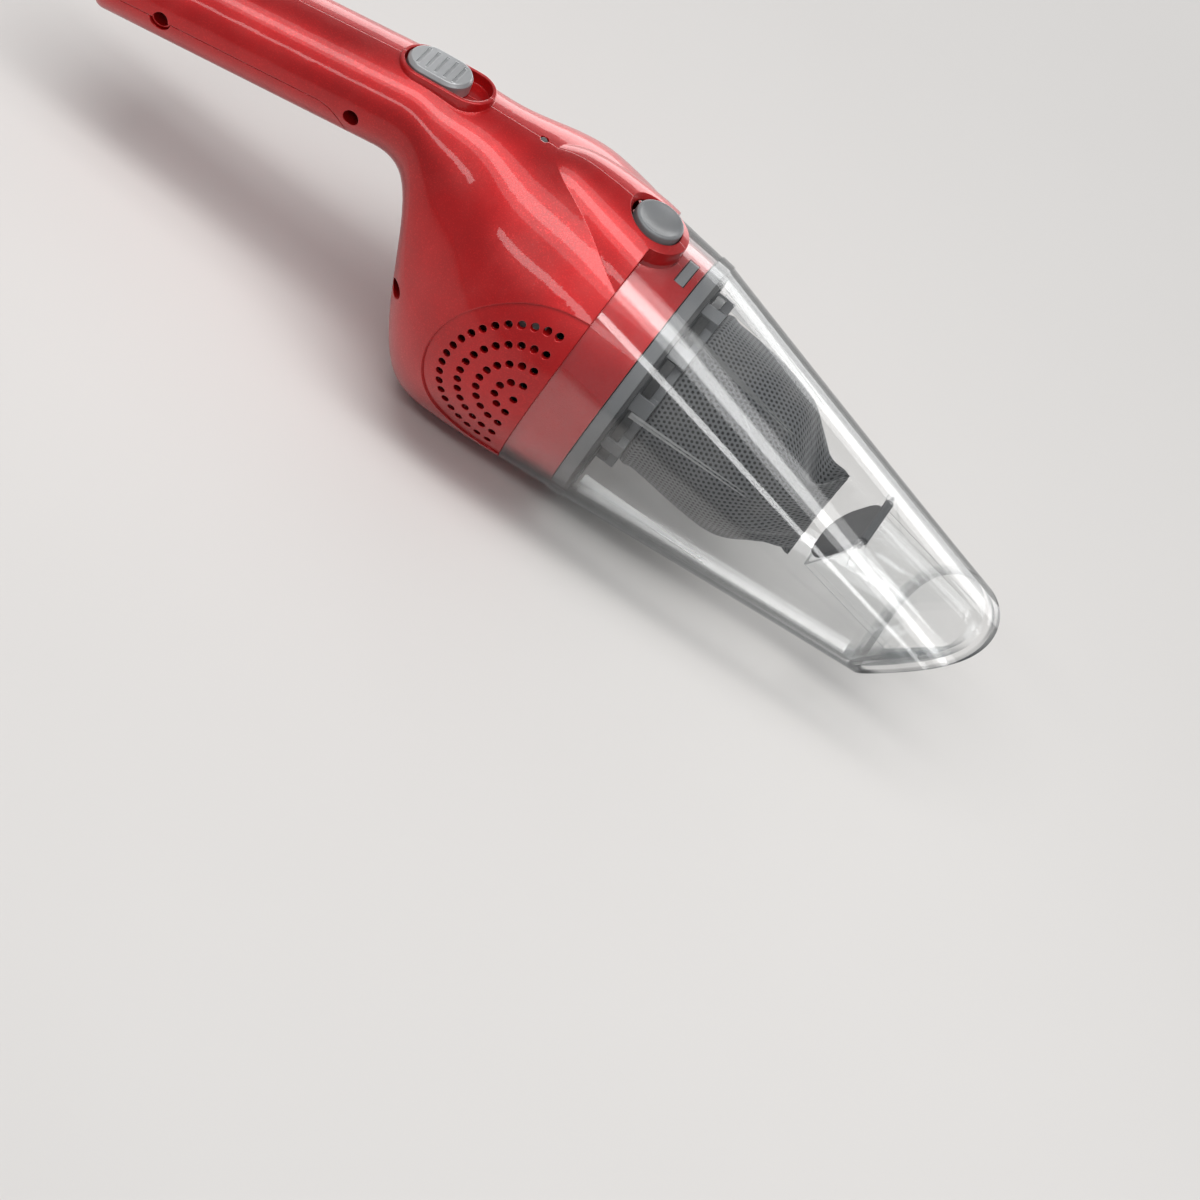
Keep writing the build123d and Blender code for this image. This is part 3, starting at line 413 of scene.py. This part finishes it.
def clearPlastic(name, look):
    # clear walls: light passes straight on, the gloss rises as the view grazes the wall,
    # and grazing walls are tinted darker, a painted shade
    material, tree, output, coords = startMaterial(name)
    dust = useGroup(tree, fineDust, {"Vector": coords, "Amount": look["dust"]})
    weight = addNode(tree, "ShaderNodeLayerWeight", {"Blend": 0.5})
    facing = weight.outputs["Facing"]
    # painted shade: walls seen at a grazing angle are tinted darker
    grazing = mapRange(tree, facing, *look["edgeSpan"], smooth=True)
    tint = mixColour(tree, grazing, colour(*look["tint"]), colour(*look["edge"]))
    # the rim of the mouth is tinted darker, a painted shade along its edge; its face bulges about an
    # axis behind it
    split = addNode(tree, "ShaderNodeSeparateXYZ", {"Vector": coords})
    x, y, z = (split.outputs[k] for k in "XYZ")
    place = addNode(
        tree,
        "ShaderNodeVectorMath",
        {0: coords, 1: look["mouthPoint"]},
        operation="SUBTRACT",
    )
    ahead = addNode(
        tree,
        "ShaderNodeVectorMath",
        {0: place.outputs[0], 1: look["mouthNormal"]},
        operation="DOT_PRODUCT",
    )
    reach = doMath(tree, "ADD", ahead.outputs["Value"], look["mouthBulge"])
    reach = doMath(tree, "MAXIMUM", reach, 0.0)
    across, forward = doMath(tree, "MULTIPLY", y, y), doMath(tree, "MULTIPLY", reach, reach)
    squares = doMath(tree, "ADD", across, forward)
    past = doMath(tree, "SUBTRACT", doMath(tree, "SQRT", squares), look["mouthBulge"])
    rim = mapRange(tree, past, -look["rimDepth"] * 1.3, -look["rimDepth"] * 0.7)
    rimTurn = mapRange(tree, facing, *look["rimFacing"], toLow=look["leastRim"])
    rim = doMath(tree, "MULTIPLY", rim, rimTurn)
    tint = mixColour(tree, rim, tint, colour(*look["rim"]))
    # the gloss follows the cup's true oval cone, so that its highlights run straight
    span = look["tip"] - look["collarEnd"]
    share = doMath(tree, "DIVIDE", doMath(tree, "SUBTRACT", x, look["collarEnd"]), span)
    share = doMath(tree, "MAXIMUM", share, look["leastShare"])
    slopes = {
        "wide": (look["tipWide"] - look["collarRadius"]) / span,
        "tall": (look["tipTall"] - look["collarRadius"]) / span,
        "middle": look["tipMiddle"] / span,
    }
    along = doMath(tree, "MULTIPLY", share, span)
    wide = doMath(tree, "ADD", doMath(tree, "MULTIPLY", along, slopes["wide"]), look["collarRadius"])
    tall = doMath(tree, "ADD", doMath(tree, "MULTIPLY", along, slopes["tall"]), look["collarRadius"])
    height = doMath(tree, "SUBTRACT", z, doMath(tree, "MULTIPLY", along, slopes["middle"]))
    u, v = doMath(tree, "DIVIDE", y, wide), doMath(tree, "DIVIDE", height, tall)
    normalY, normalZ = doMath(tree, "DIVIDE", u, wide), doMath(tree, "DIVIDE", v, tall)
    fromWide = doMath(tree, "MULTIPLY", doMath(tree, "MULTIPLY", u, normalY), -slopes["wide"])
    fromTall = doMath(tree, "MULTIPLY", doMath(tree, "MULTIPLY", v, normalZ), -slopes["tall"])
    fromMiddle = doMath(tree, "MULTIPLY", normalZ, -slopes["middle"])
    normalX = doMath(tree, "ADD", doMath(tree, "ADD", fromWide, fromTall), fromMiddle)
    outward = addNode(tree, "ShaderNodeCombineXYZ", {"X": normalX, "Y": normalY, "Z": normalZ})
    unit = addNode(tree, "ShaderNodeVectorMath", {0: outward.outputs[0]}, operation="NORMALIZE")
    shape = tree.nodes.new("ShaderNodeNewGeometry")
    meet = addNode(
        tree,
        "ShaderNodeVectorMath",
        {0: unit.outputs[0], 1: shape.outputs["Normal"]},
        operation="DOT_PRODUCT",
    )
    turned = addNode(tree, "ShaderNodeVectorMath", {0: unit.outputs[0]}, operation="SCALE")
    tree.links.new(doMath(tree, "SIGN", meet.outputs["Value"]), turned.inputs["Scale"])
    close = doMath(tree, "ABSOLUTE", meet.outputs["Value"])
    onWall = mapRange(tree, close, *look["wallSpan"])
    blend = addNode(tree, "ShaderNodeMix", data_type="VECTOR")
    tree.links.new(onWall, blend.inputs["Factor"])
    tree.links.new(shape.outputs["Normal"], blend.inputs[4])
    tree.links.new(turned.outputs[0], blend.inputs[5])
    through = addNode(tree, "ShaderNodeBsdfTransparent", {"Color": tint})
    gloss = addNode(
        tree,
        "ShaderNodeBsdfGlossy",
        {"Color": colour(1, 1, 1), "Roughness": look["rough"], "Normal": blend.outputs[1]},
    )
    rise = doMath(tree, "POWER", facing, look["curve"])
    mirrored = mapRange(tree, rise, 0.0, 1.0, look["mirror"], look["grazingMirror"])
    wall = addNode(tree, "ShaderNodeMixShader")
    tree.links.new(mirrored, wall.inputs[0])
    tree.links.new(through.outputs[0], wall.inputs[1])
    tree.links.new(gloss.outputs[0], wall.inputs[2])
    # the flanks of the fins and the wall's cut edges get a painted highlight, a pale diffuse film;
    # the same film shows the dust
    flank = mapRange(tree, close, *look["flankSpan"])
    behindEnd = mapRange(tree, x, look["finEnd"] + look["finFade"], look["finEnd"])
    collarLow, collarHigh = (look["collarEnd"] + side * look["collarFade"] for side in (-1, 1))
    flank = doMath(tree, "MULTIPLY", flank, behindEnd)
    flank = doMath(tree, "MULTIPLY", flank, mapRange(tree, x, collarLow, collarHigh))
    film = addNode(tree, "ShaderNodeBsdfDiffuse", {"Color": colour(*look["film"])})
    dustAndFinHighlightMix = addNode(tree, "ShaderNodeMixShader")
    dustAndFinHighlight = doMath(tree, "MAXIMUM", dust["Mask"], doMath(tree, "MULTIPLY", flank, look["flankHighlight"]))
    tree.links.new(dustAndFinHighlight, dustAndFinHighlightMix.inputs[0])
    tree.links.new(wall.outputs[0], dustAndFinHighlightMix.inputs[1])
    tree.links.new(film.outputs[0], dustAndFinHighlightMix.inputs[2])
    tree.links.new(dustAndFinHighlightMix.outputs[0], output.inputs["Surface"])
    return material


sockLook = {
    "thread": (0.085, 0.089, 0.092),
    "bright": (0.15, 0.155, 0.16),
    # the hole colour is near black, a painted shade for the dark inside of the sock seen through the
    # open mesh
    "hole": (0.006, 0.006, 0.007),
    "pitch": 0.0021,
    "holeRim": (0.36, 0.24),
    "grain": 2600.0,
    "dust": 0.5,
    "dustColour": (0.40, 0.38, 0.35),
    "threadHeight": 0.5,
    "bump": 0.7,
    "bumpDepth": 0.0004,
    "rough": 0.8,
    "sheen": 0.3,
    "sheenRough": 0.4,
}


def meshCloth(name, look):
    # spacer mesh: rows of small holes in a hexagonal lattice, on the cloth's own UV in metres
    material, tree, output, coords = startMaterial(name)
    uv = tree.nodes.new("ShaderNodeUVMap")
    split = addNode(tree, "ShaderNodeSeparateXYZ", {"Vector": uv.outputs[0]})
    pitch = look["pitch"]
    rowPitch = pitch * math.sqrt(3)
    near = []
    for shift in (0.0, 0.5):
        parts = []
        for axis, size in (("X", pitch), ("Y", rowPitch)):
            row = doMath(tree, "DIVIDE", split.outputs[axis], size)
            cell = doMath(tree, "FRACT", doMath(tree, "ADD", row, shift))
            offset = doMath(tree, "SUBTRACT", cell, 0.5)
            parts.append(doMath(tree, "MULTIPLY", offset, size / pitch))
        squares = [doMath(tree, "MULTIPLY", part, part) for part in parts]
        near.append(doMath(tree, "SQRT", doMath(tree, "ADD", *squares)))
    nearest = doMath(tree, "MINIMUM", near[0], near[1])
    hole = mapRange(tree, nearest, *look["holeRim"], smooth=True)
    grain = useGroup(tree, mouldGrain, {"Vector": coords, "Scale": look["grain"]})
    dust = useGroup(tree, fineDust, {"Vector": coords, "Amount": look["dust"]})
    base = mixColour(tree, grain["Height"], colour(*look["thread"]), colour(*look["bright"]))
    # the holes are painted near black: a painted shade for the inside seen through them
    base = mixColour(tree, hole, base, colour(*look["hole"]))
    base = mixColour(tree, dust["Mask"], base, colour(*look["dustColour"]))
    sunk = doMath(tree, "MULTIPLY", hole, -1.0)
    raised = doMath(tree, "MULTIPLY", grain["Height"], look["threadHeight"])
    height = doMath(tree, "ADD", sunk, raised)
    bump = addNode(
        tree,
        "ShaderNodeBump",
        {"Strength": look["bump"], "Distance": look["bumpDepth"], "Height": height},
    )
    shader = addNode(
        tree,
        "ShaderNodeBsdfPrincipled",
        {
            "Base Color": base,
            "Roughness": look["rough"],
            "Normal": bump.outputs[0],
            "Sheen Weight": look["sheen"],
            "Sheen Roughness": look["sheenRough"],
        },
    )
    tree.links.new(shader.outputs[0], output.inputs["Surface"])
    return material


plasticLooks = {
    "silverPlastic": {"colour": (0.46, 0.465, 0.47), "rough": 0.34, "metal": 0.7, "edge": 0.0005},
    "greyPlastic": {"colour": (0.17, 0.175, 0.18), "rough": 0.36, "shine": 0.6, "edge": 0.0008},
    "flangeGrey": {"colour": (0.15, 0.155, 0.16), "rough": 0.42},
    "lockDark": {"colour": (0.014, 0.0145, 0.015), "rough": 0.38},
    "blackPlastic": {"colour": (0.018, 0.018, 0.019), "rough": 0.42},
    "cageGrey": {"colour": (0.34, 0.35, 0.355), "rough": 0.4},
    # the impeller is coloured nearly black so that the vent holes look dark: a painted shade for the
    # inside of the housing
    "fanPlastic": {"colour": (0.035, 0.035, 0.037), "rough": 0.4},
    "boardGreen": {"colour": (0.02, 0.12, 0.05), "rough": 0.35},
    "sealRubber": {"colour": (0.02, 0.02, 0.021), "rough": 0.6, "bump": 0.4},
    "flapRubber": {"colour": (0.06, 0.062, 0.065), "rough": 0.5, "bump": 0.35},
    "lightLens": {"colour": (0.10, 0.10, 0.10), "rough": 0.15, "coat": 0.8},
    "cellWrap": {"colour": (0.04, 0.14, 0.34), "rough": 0.3, "coat": 0.6},
    "magnetFerrite": {"colour": (0.05, 0.05, 0.055), "rough": 0.6, "metal": 0.4},
    "turnedSteel": {"colour": (0.5, 0.5, 0.51), "rough": 0.3, "metal": 1.0},
    "drawnSteel": {"colour": (0.42, 0.42, 0.43), "rough": 0.38, "metal": 1.0},
    "contactMetal": {"colour": (0.7, 0.68, 0.62), "rough": 0.22, "metal": 1.0},
}
materials = {name: mouldedPlastic(name, look) for name, look in plasticLooks.items()}
materials["metallicRed"] = metallicRed("metallicRed", redLook)
materials["clearPlastic"] = clearPlastic("clearPlastic", clearLook)
materials["meshCloth"] = meshCloth("meshCloth", sockLook)

finishes = {
    "metallicRed": ["housing_left", "housing_right", "handle_cover"],
    "clearPlastic": ["dust_cup"],
    "silverPlastic": ["switch_knob"],
    "greyPlastic": ["release_button"],
    "flangeGrey": ["filter_frame"],
    "lockDark": ["filter_lock_ring"],
    "cageGrey": ["filter_cage"],
    "sealRubber": ["filter_seal", "motor_ring"],
    "flapRubber": ["inlet_flap"],
    "lightLens": ["charge_light"],
    "blackPlastic": [
        "switch_block",
        "charge_socket",
        "battery_tray",
        "motor_plate",
        "motor_end_cap",
        "fan_cover",
        "intake_grille",
    ],
    "fanPlastic": ["impeller"],
    "boardGreen": ["circuit_board"],
    "cellWrap": ["battery_cells"],
    "magnetFerrite": ["motor_magnets"],
    "turnedSteel": ["button_spring", "housing_screws", "motor_screws", "motor_shaft", "flap_pin"],
    "drawnSteel": ["motor_can", "rotor_core"],
    "contactMetal": ["socket_pin", "battery_tabs", "motor_terminals"],
    "meshCloth": [],
}
for finish, names in finishes.items():
    for name in names:
        mesh = nodes[name].data
        mesh.materials.clear()
        mesh.materials.append(materials[finish])
print("materials ready")


# the filter's cloth sock, gathered at the neck and pinched flat at the far end
sock = {
    "around": 208,
    "along": 96,
    "neckRadius": 0.0343,
    "neckMiddle": 0.006,
    "endHalfWidth": 0.0026,
    "endHalfHeight": 0.0264,
    "endMiddle": -0.0008,
    "narrowing": 4.2,
    "tuckDepth": 0.023,
    "tuckStart": 0.60,
    "tuckWidth": 0.7,
    "tuckNarrowsAt": 0.018,
    "tuckLeast": 0.0003,
    "ribs": 8,
    "ribBulge": 0.00045,
    "ribReach": 1.4,
    "wrinkle": 0.0007,
    "wrinkleStart": 0.45,
    "wrinkleSpan": 0.4,
    "wrinkleWaves": ((11, 5, 1.0), (17, -9, 0.6)),
    "hemBulge": 0.0009,
    "hemPlace": 0.03,
    "hemWidth": 0.025,
    "thickness": 0.0009,
}


def smooth(t):
    t = min(max(t, 0.0), 1.0)
    return t * t * (3 - 2 * t)


def sockPoint(start, length, turn, share):
    # turn runs round from the bottom, share from the neck to the closed end
    y, z = math.sin(turn), -math.cos(turn)
    neck = sock["neckRadius"]
    wide = neck + (sock["endHalfWidth"] - neck) * share ** sock["narrowing"]
    tall = neck + (sock["endHalfHeight"] - neck) * smooth(2 * share - 1)
    middle = sock["neckMiddle"] + (sock["endMiddle"] - sock["neckMiddle"]) * smooth(share)
    ribFade = math.sin(math.pi * min(1.0, share * sock["ribReach"])) ** 2
    rib = sock["ribBulge"] * math.cos(sock["ribs"] * turn) * ribFade
    waves = sum(
        size * math.sin(turns * turn + onward * share)
        for turns, onward, size in sock["wrinkleWaves"]
    )
    wrinkled = smooth((share - sock["wrinkleStart"]) / sock["wrinkleSpan"])
    crease = sock["wrinkle"] * wrinkled * waves
    hem = sock["hemBulge"] * math.exp(-((share - sock["hemPlace"]) / sock["hemWidth"]) ** 2)
    grow = rib + crease * abs(y) ** 0.5 + hem
    tucked = smooth((share - sock["tuckStart"]) / (1 - sock["tuckStart"]))
    tuckHalf = sock["tuckWidth"] * wide * min(1.0, wide / sock["tuckNarrowsAt"])
    lip = math.exp(-((y * wide) / (tuckHalf + sock["tuckLeast"])) ** 2)
    tuck = math.copysign(sock["tuckDepth"] * tucked * lip * abs(z) ** 2, z)
    height = middle + (tall + grow) * z - tuck
    return Vector((start + length * share, (wide + grow) * y, height))


low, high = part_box("filter_sock")
start, length = low.x, high.x - low.x
around, along = sock["around"], sock["along"]
points = [
    sockPoint(start, length, 2 * math.pi * i / around, j / along)
    for j in range(along + 1)
    for i in range(around)
]
faces = []
for j in range(along):
    here, onward = j * around, (j + 1) * around
    for i in range(around):
        beside = (i + 1) % around
        faces.append((here + i, here + beside, onward + beside, onward + i))
sockMesh = bpy.data.meshes.new("filterSock")
sockMesh.from_pydata(points, [], faces)
layer = sockMesh.uv_layers.new(name="cloth")
threads = round(2 * math.pi * sock["neckRadius"] / sockLook["pitch"])
for face in sockMesh.polygons:
    j, i = divmod(face.index, around)
    corners = ((i, j), (i + 1, j), (i + 1, j + 1), (i, j + 1))
    for loop, (a, b) in zip(face.loop_indices, corners):
        layer.data[loop].uv = (a / around * threads * sockLook["pitch"], b / along * length)
sockMesh.polygons.foreach_set("use_smooth", [True] * len(sockMesh.polygons))
sockPiece = bpy.data.objects.new("filterSock", sockMesh)
scene.collection.objects.link(sockPiece)
sockMesh.materials.append(materials["meshCloth"])
shell = sockPiece.modifiers.new("cloth", "SOLIDIFY")
shell.thickness = sock["thickness"]
shell.offset = -1.0
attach(sockPiece, "filter")
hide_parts("filter_sock")
print("sock ready")


floorSettings = {
    "size": 12.0,
    "middle": 0.2,
    "cloudScale": 3.0,
    "cloudDetail": 4.0,
    "dark": (0.66, 0.64, 0.62),
    "light": (0.70, 0.68, 0.66),
    "rough": 0.85,
}

bpy.ops.mesh.primitive_plane_add(
    size=floorSettings["size"], location=(floorSettings["middle"], 0, cadLow.z)
)
floor = bpy.context.object
floor.name = "studioFloor"
floorMaterial, tree, output, coords = startMaterial("paleFloor")
cloud = addNode(
    tree,
    "ShaderNodeTexNoise",
    {
        "Vector": coords,
        "Scale": floorSettings["cloudScale"],
        "Detail": floorSettings["cloudDetail"],
    },
)
floorColour = mixColour(
    tree, cloud.outputs[0], colour(*floorSettings["dark"]), colour(*floorSettings["light"])
)
floorShader = addNode(
    tree,
    "ShaderNodeBsdfPrincipled",
    {"Base Color": floorColour, "Roughness": floorSettings["rough"]},
)
tree.links.new(floorShader.outputs[0], output.inputs["Surface"])
floor.data.materials.append(floorMaterial)

worldSettings = {"colour": (0.95, 0.97, 1.0), "strength": 0.30}

world = bpy.data.worlds.new("studioWorld")
world.use_nodes = True
background = world.node_tree.nodes["Background"]
background.inputs[0].default_value = colour(*worldSettings["colour"])
background.inputs[1].default_value = worldSettings["strength"]
scene.world = world

# angle above the horizon seen from the right side, distance, size along X, size across,
# watts, and place along X
lights = {
    "overheadSoft": {"angle": 83, "far": 1.05, "long": 1.7, "wide": 0.56, "power": 6.0, "x": 0.2},
    "overheadStrip": {"angle": 81, "far": 1.0, "long": 1.6, "wide": 0.19, "power": 4.2, "x": 0.2},
    "front": {"angle": 48, "far": 1.1, "long": 1.6, "wide": 0.115, "power": 3.2, "x": 0.2},
    "rearWall": {"angle": 176, "far": 1.4, "long": 2.2, "wide": 0.9, "power": 18, "x": 0.2},
}
for name, spec in lights.items():
    turn = math.radians(spec["angle"])
    data = bpy.data.lights.new(name, "AREA")
    data.shape = "RECTANGLE"
    data.size, data.size_y = spec["long"], spec["wide"]
    data.energy = spec["power"]
    light = bpy.data.objects.new(name, data)
    away = Vector((0, -math.cos(turn), math.sin(turn)))
    sideways = Vector((1, 0, 0))
    place = Vector((spec["x"], 0, 0)) + away * spec["far"]
    facing = Matrix((sideways, away.cross(sideways), away)).transposed().to_4x4()
    light.matrix_world = Matrix.Translation(place) @ facing
    light.visible_camera = False
    scene.collection.objects.link(light)

view = {
    "lens": 135.0,
    "sensor": 36.0,
    "frameWidth": 0.4596,  # what the frame spans at the object
    "aim": (0.2926, -0.0505, -0.0581),
    "right": (0.794, 0.398, 0.458),
    "up": (-0.607, 0.521, 0.599),
    "back": (0.0, -0.755, 0.656),
    "clip": (0.05, 50.0),
}

cameraData = bpy.data.cameras.new("camera")
cameraData.lens = view["lens"]
cameraData.sensor_width = view["sensor"]
cameraData.clip_start, cameraData.clip_end = view["clip"]
camera = bpy.data.objects.new("camera", cameraData)
scene.collection.objects.link(camera)
rows = Matrix([Vector(view[k]).normalized() for k in ("right", "up", "back")])
distance = view["frameWidth"] * view["lens"] / view["sensor"]
camera.matrix_world = (
    Matrix.Translation(Vector(view["aim"]) + Vector(view["back"]).normalized() * distance)
    @ rows.transposed().to_4x4()
)
scene.camera = camera
print("studio ready")
